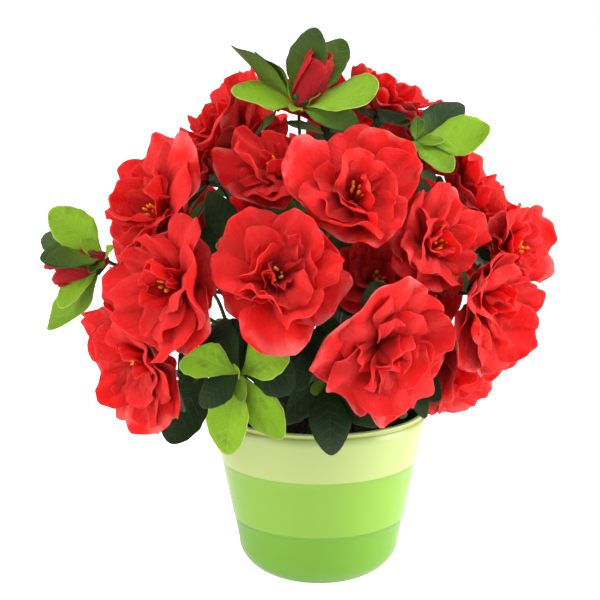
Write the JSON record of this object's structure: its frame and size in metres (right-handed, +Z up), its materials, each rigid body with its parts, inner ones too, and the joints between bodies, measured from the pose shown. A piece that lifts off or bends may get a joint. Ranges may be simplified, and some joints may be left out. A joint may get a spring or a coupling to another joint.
{
  "type": "potted artificial azalea shrub",
  "caption": "Artificial azalea bush with large double silk blooms, buds and leaf rosettes on moulded stems, standing in a banded round plastic pot.",
  "frame": {"origin": "centre of the pot's flat underside", "axes": "+Z up through the pot and the plant, -Y towards the front, +X to the right seen from the front"},
  "size_m": [0.2982, 0.2611, 0.3319],
  "materials": {
    "pot_plastic": "satin, in three bands from cream yellow at the rim to mid green at the base",
    "pot_fill": "rough, near black",
    "stem_plastic": "moulded, matt, finely ribbed",
    "silk_petals": "thin woven silk, heat-set, matt with a faint sheen",
    "silk_leaves": "coated fabric with pressed veins, satin"
  },
  "bodies": {
    "root": {"bough_back": "stem_plastic", "bough_back_left": "stem_plastic", "bough_back_right": "stem_plastic", "bough_far_left": "stem_plastic", "bough_front": "stem_plastic", "bough_front_right": "stem_plastic", "bough_inner_left": "stem_plastic", "bough_left": "stem_plastic", "bough_left_bud": "stem_plastic", "bough_low_back": "stem_plastic", "bough_low_back_left": "stem_plastic", "bough_low_back_right": "stem_plastic", "bough_low_far_left": "stem_plastic", "bough_low_front": "stem_plastic", "bough_low_left": "stem_plastic", "bough_low_right": "stem_plastic", "bough_low_side": "stem_plastic", "bough_right": "stem_plastic", "bough_top_back": "stem_plastic", "bough_top_bud": "stem_plastic", "bough_top_left": "stem_plastic", "bough_top_right": "stem_plastic", "bough_upper_front": "stem_plastic", "bough_upper_left": "stem_plastic", "bough_upper_right": "stem_plastic", "pot": "pot_plastic", "pot_fill": "pot_fill", "spray_back": "silk_petals", "spray_back_left": "silk_petals", "spray_back_right": "silk_petals", "spray_far_left": "silk_petals", "spray_front": "silk_petals", "spray_front_right": "silk_petals", "spray_inner_left": "silk_leaves", "spray_left": "silk_petals", "spray_left_bud": "silk_leaves", "spray_low_back": "silk_leaves", "spray_low_back_left": "silk_leaves", "spray_low_back_right": "silk_leaves", "spray_low_far_left": "silk_leaves", "spray_low_front": "silk_leaves", "spray_low_left": "silk_leaves", "spray_low_right": "silk_petals", "spray_low_side": "silk_leaves", "spray_right": "silk_petals", "spray_top_back": "silk_petals", "spray_top_bud": "silk_leaves", "spray_top_left": "silk_petals", "spray_top_right": "silk_petals", "spray_upper_front": "silk_petals", "spray_upper_left": "silk_petals", "spray_upper_right": "silk_petals", "trunk": "stem_plastic"}
  },
  "joints": []
}
